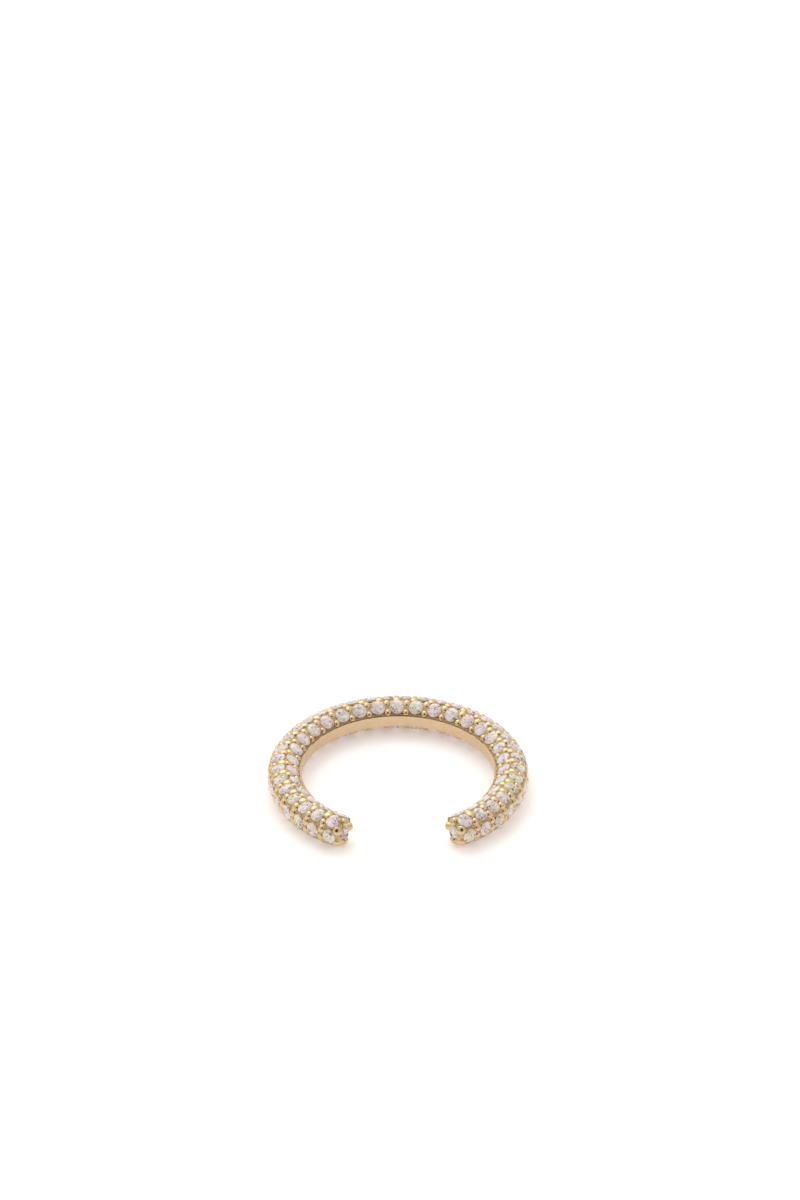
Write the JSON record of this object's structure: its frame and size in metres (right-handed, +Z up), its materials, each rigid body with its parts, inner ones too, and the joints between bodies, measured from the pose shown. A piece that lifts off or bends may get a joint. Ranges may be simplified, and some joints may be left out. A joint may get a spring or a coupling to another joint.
{
  "type": "pave ring",
  "caption": "Open gold pave ring: a slim round bar bent into a C, set all round with small brilliants, with a plain inner strip.",
  "frame": {"origin": "on the surface that the ring lies on, under the middle of its box", "axes": "+Z up, out of the plane of the ring; -Y towards the gap of the ring; +X to the right as seen from the gap"},
  "size_m": [0.0222, 0.0208, 0.003],
  "materials": {
    "gold": "polished",
    "stone": "polished"
  },
  "bodies": {
    "root": {"shank": "gold", "pave_left": "stone", "pave_right": "stone"}
  },
  "joints": []
}
